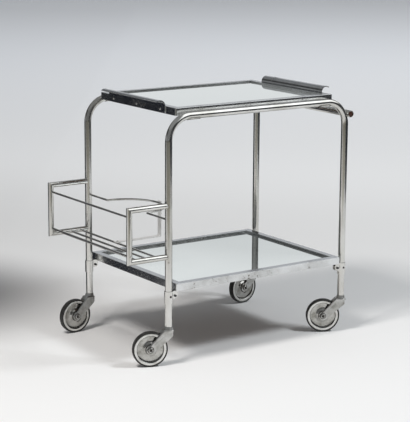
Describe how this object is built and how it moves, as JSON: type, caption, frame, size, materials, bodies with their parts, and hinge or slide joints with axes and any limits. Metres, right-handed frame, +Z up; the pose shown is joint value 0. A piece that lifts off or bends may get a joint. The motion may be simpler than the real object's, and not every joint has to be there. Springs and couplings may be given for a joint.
{
  "type": "serving trolley",
  "caption": "Serving trolley of bent tube with a fixed lower tray, a lift-off handled upper tray, a bottle rack, an ice bucket ring, a push bar and swivel casters.",
  "frame": {"origin": "on the floor, under the middle of the whole trolley's box", "axes": "+X along the long sides, from the bottle rack to the push bar; +Y away from the front, across the trolley; +Z up"},
  "size_m": [0.7602, 0.454, 0.7213],
  "materials": {
    "nickel": "polished nickel plate",
    "mirror": "silvered plate glass",
    "board": "stained plywood",
    "dark_steel": "blackened",
    "caster_steel": "nickel plate",
    "wheel_metal": "polished pressed disc",
    "tyre": "black rubber",
    "bronze": "oiled bronze",
    "plug": "dark brown"
  },
  "bodies": {
    "frame": {"front_frame_tube": "nickel", "back_frame_tube": "nickel", "push_handle_bar": "nickel", "bar_end_plugs": "plug", "tray_collars": "nickel", "clamp_bolts": "dark_steel", "collar_screws": "dark_steel", "tray_rests": "nickel", "rest_rivets": "dark_steel", "rack_front_bracket": "nickel", "rack_back_bracket": "nickel", "rack_upper_rail": "nickel", "rack_lower_rail": "nickel", "rack_floor_rods": "nickel", "bucket_rail": "nickel", "bucket_strap": "nickel", "strap_rivets": "nickel", "lower_tray_frame": "nickel", "lower_tray_mirror": "mirror", "lower_tray_board": "board", "ferrule_front_left": "caster_steel", "ferrule_front_right": "caster_steel", "ferrule_back_left": "caster_steel", "ferrule_back_right": "caster_steel"},
    "upper_tray": {"top_tray_frame": "nickel", "top_tray_mirror": "mirror", "top_tray_board": "board", "left_tray_handle": "nickel", "right_tray_handle": "nickel", "handle_screws": "nickel"},
    "swivel_front_left": {"stem_front_left": "caster_steel", "fork_front_left": "caster_steel", "axle_front_left": "caster_steel"},
    "roller_front_left": {"wheel_front_left": "wheel_metal", "tyre_front_left": "tyre", "bush_front_left": "bronze"},
    "swivel_front_right": {"stem_front_right": "caster_steel", "fork_front_right": "caster_steel", "axle_front_right": "caster_steel"},
    "roller_front_right": {"wheel_front_right": "wheel_metal", "tyre_front_right": "tyre", "bush_front_right": "bronze"},
    "swivel_back_left": {"stem_back_left": "caster_steel", "fork_back_left": "caster_steel", "axle_back_left": "caster_steel"},
    "roller_back_left": {"wheel_back_left": "wheel_metal", "tyre_back_left": "tyre", "bush_back_left": "bronze"},
    "swivel_back_right": {"stem_back_right": "caster_steel", "fork_back_right": "caster_steel", "axle_back_right": "caster_steel"},
    "roller_back_right": {"wheel_back_right": "wheel_metal", "tyre_back_right": "tyre", "bush_back_right": "bronze"}
  },
  "joints": [
    {"name": "tray_lift", "type": "slide", "parent": "frame", "child": "upper_tray", "axis": [0, 0, 1], "range_m": [0, 0.3]},
    {"name": "swivel_front_left", "type": "hinge", "parent": "frame", "child": "swivel_front_left", "pos_m": [-0.24763, -0.2125, 0.1105], "axis": [0, 0, 1], "continuous": true},
    {"name": "roll_front_left", "type": "hinge", "parent": "swivel_front_left", "child": "roller_front_left", "pos_m": [-0.29649, -0.19471, 0.0495], "axis": [-0.342, -0.9397, 0], "continuous": true},
    {"name": "swivel_front_right", "type": "hinge", "parent": "frame", "child": "swivel_front_right", "pos_m": [0.35637, -0.2125, 0.1105], "axis": [0, 0, 1], "continuous": true},
    {"name": "roll_front_right", "type": "hinge", "parent": "swivel_front_right", "child": "roller_front_right", "pos_m": [0.3118, -0.18572, 0.0495], "axis": [-0.515, -0.8572, 0], "continuous": true},
    {"name": "swivel_back_left", "type": "hinge", "parent": "frame", "child": "swivel_back_left", "pos_m": [-0.24763, 0.2125, 0.1105], "axis": [0, 0, 1], "continuous": true},
    {"name": "roll_back_left", "type": "hinge", "parent": "swivel_back_left", "child": "roller_back_left", "pos_m": [-0.2995, 0.20887, 0.0495], "axis": [0.0698, -0.9976, 0], "continuous": true},
    {"name": "swivel_back_right", "type": "hinge", "parent": "frame", "child": "swivel_back_right", "pos_m": [0.35637, 0.2125, 0.1105], "axis": [0, 0, 1], "continuous": true},
    {"name": "roll_back_right", "type": "hinge", "parent": "swivel_back_right", "child": "roller_back_right", "pos_m": [0.30466, 0.20706, 0.0495], "axis": [0.1045, -0.9945, 0], "continuous": true}
  ]
}
